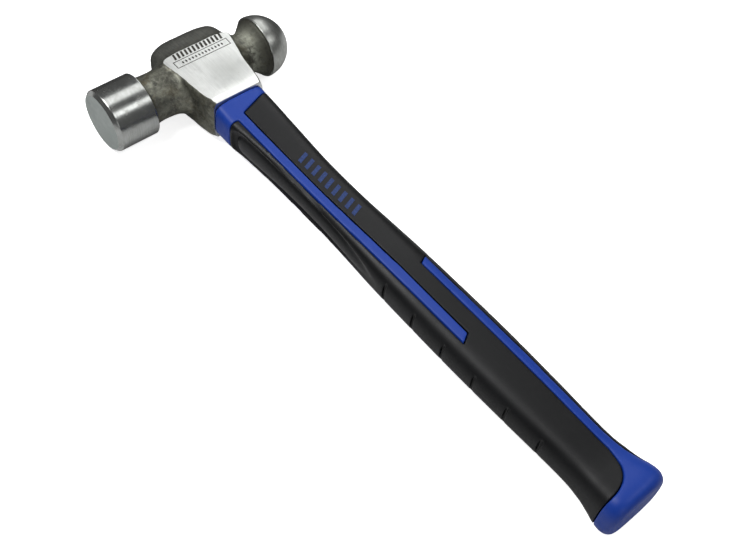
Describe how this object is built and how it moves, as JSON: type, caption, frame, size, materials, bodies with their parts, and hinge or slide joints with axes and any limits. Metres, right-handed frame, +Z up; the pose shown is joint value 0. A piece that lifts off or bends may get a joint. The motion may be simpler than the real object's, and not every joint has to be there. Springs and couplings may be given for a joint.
{
  "type": "ball peen hammer",
  "caption": "Ball peen hammer: forged steel head with a flat face and a ball, on a fibreglass-cored handle with a hard blue sleeve and a soft black grip.",
  "frame": {"origin": "middle of the object's box in X and Y, on the surface it lies on", "axes": "+X along the handle from the head to the butt, +Y along the head from the striking face to the ball, +Z up, square to the ground cheeks"},
  "size_m": [0.334, 0.1124, 0.0338],
  "materials": {
    "forged_steel": "ground cheeks, bell and ball; rough dark forging elsewhere",
    "fibreglass": "pultruded glass fibre in resin",
    "epoxy_resin": "cast, smooth",
    "blue_plastic": "moulded, satin",
    "black_rubber": "moulded, matt"
  },
  "bodies": {
    "root": {"hammer_head": "forged_steel", "fibreglass_core": "fibreglass", "eye_bond": "epoxy_resin", "blue_jacket": "blue_plastic", "soft_grip": "black_rubber"}
  },
  "joints": []
}
